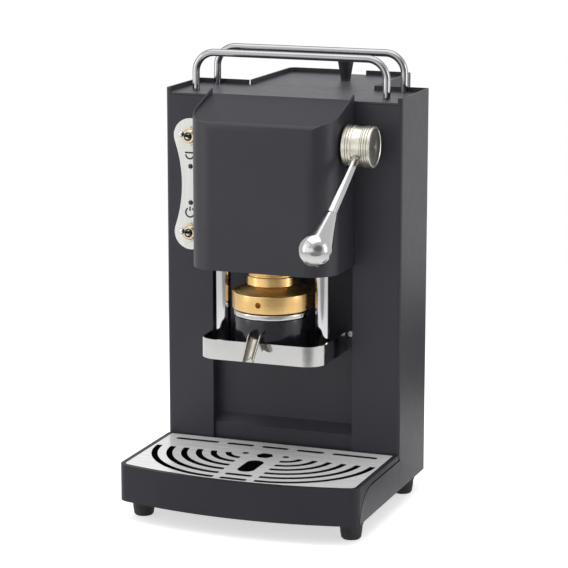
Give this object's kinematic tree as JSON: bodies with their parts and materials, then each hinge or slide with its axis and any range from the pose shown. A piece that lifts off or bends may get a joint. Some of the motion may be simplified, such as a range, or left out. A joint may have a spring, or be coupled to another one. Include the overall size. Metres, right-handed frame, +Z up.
{
  "type": "lever espresso machine",
  "caption": "Countertop lever espresso machine for paper pods, with a slotted drip tray, a rear water tank and chrome cup rails.",
  "frame": {"origin": "centre of the overall box, on the plane that the feet stand on", "axes": "+Z up, -Y towards the user in front of the machine, +X to the user's right, where the lever is"},
  "size_m": [0.2, 0.307, 0.364],
  "materials": {
    "black_coat": "satin powder coat",
    "deck_coat": "satin powder coat",
    "chrome": "polished",
    "polished_steel": "polished",
    "brushed_steel": "brushed",
    "satin_nickel": "satin",
    "brass": "turned",
    "bronze": "sintered",
    "gear_steel": "milled",
    "zinc_steel": "zinc plated",
    "black_plastic": "moulded",
    "clear_plastic": "smooth",
    "rubber": "matte",
    "silicone": "matte",
    "white_tube": "smooth",
    "lamp_lens": "smooth"
  },
  "bodies": {
    "machine_body": {"base_plate": "black_coat", "boiler": "brass", "boiler_saddle": "zinc_steel", "brew_hood": "black_coat", "coffee_spout": "polished_steel", "column_tie_plate": "zinc_steel", "cord_gland": "black_plastic", "cup_deck": "deck_coat", "foot_front_left": "rubber", "foot_front_right": "rubber", "foot_rear_left": "rubber", "foot_rear_right": "rubber", "group_bracket": "polished_steel", "group_frame": "zinc_steel", "group_hose": "white_tube", "guide_column_left": "chrome", "guide_column_right": "chrome", "lamp_lower": "lamp_lens", "lamp_upper": "lamp_lens", "pod_holder": "black_plastic", "pod_holder_rim": "polished_steel", "pressure_hose": "white_tube", "pump_saddle": "rubber", "rail_front": "chrome", "rail_rear": "chrome", "rear_housing": "black_coat", "recess_panel": "black_coat", "recess_screw_left": "zinc_steel", "recess_screw_right": "zinc_steel", "shaft_bushing_left": "bronze", "shaft_bushing_right": "bronze", "side_panel_left": "black_coat", "side_panel_right": "black_coat", "suction_hose": "white_tube", "switch_body_lower": "black_plastic", "switch_body_upper": "black_plastic", "switch_bushing_lower": "satin_nickel", "switch_bushing_upper": "satin_nickel", "switch_plate": "brushed_steel", "tank_valve": "black_plastic", "water_pump": "black_plastic"},
    "lever": {"lever_shaft": "chrome", "shaft_pinion": "gear_steel", "lever_hub": "satin_nickel", "lever_rod": "chrome", "lever_knob": "chrome"},
    "brew_head": {"brass_head": "brass", "head_seal": "silicone", "shower_screen": "brushed_steel", "head_crosshead": "zinc_steel", "hose_fitting": "brass", "drive_rack": "gear_steel"},
    "upper_toggle": {"toggle_upper": "satin_nickel"},
    "lower_toggle": {"toggle_lower": "satin_nickel"},
    "tray": {"drip_tray": "black_coat"},
    "grille": {"drip_grille": "brushed_steel"},
    "tank": {"water_tank": "clear_plastic"},
    "lid": {"tank_lid": "deck_coat", "lid_knob": "black_plastic"}
  },
  "joints": [
    {"name": "lever_turn", "type": "hinge", "parent": "machine_body", "child": "lever", "pos_m": [0, -0.03698, 0.2978], "axis": [-1, 0, 0], "range_deg": [0, 90]},
    {"name": "head_slide", "type": "slide", "parent": "machine_body", "child": "brew_head", "axis": [0, 0, 1], "range_m": [0, 0.0165], "deforming": ["group_hose"]},
    {"name": "upper_toggle_turn", "type": "hinge", "parent": "machine_body", "child": "upper_toggle", "pos_m": [-0.0785, -0.01947, 0.2952], "axis": [1, 0, 0], "range_deg": [0, 30]},
    {"name": "lower_toggle_turn", "type": "hinge", "parent": "machine_body", "child": "lower_toggle", "pos_m": [-0.0785, -0.01947, 0.2164], "axis": [1, 0, 0], "range_deg": [0, 30]},
    {"name": "tray_slide", "type": "slide", "parent": "machine_body", "child": "tray", "axis": [0, -1, 0], "range_m": [0, 0.11]},
    {"name": "grille_lift", "type": "slide", "parent": "tray", "child": "grille", "axis": [0, 0, 1], "range_m": [0, 0.05]},
    {"name": "tank_lift", "type": "slide", "parent": "machine_body", "child": "tank", "axis": [0, 0, 1], "range_m": [0, 0.31]},
    {"name": "lid_lift", "type": "slide", "parent": "tank", "child": "lid", "axis": [0, 0, 1], "range_m": [0, 0.05]}
  ],
  "couplings": [
    {"joint": "head_slide", "follows": "lever_turn", "m_per_rad": 0.0105}
  ]
}
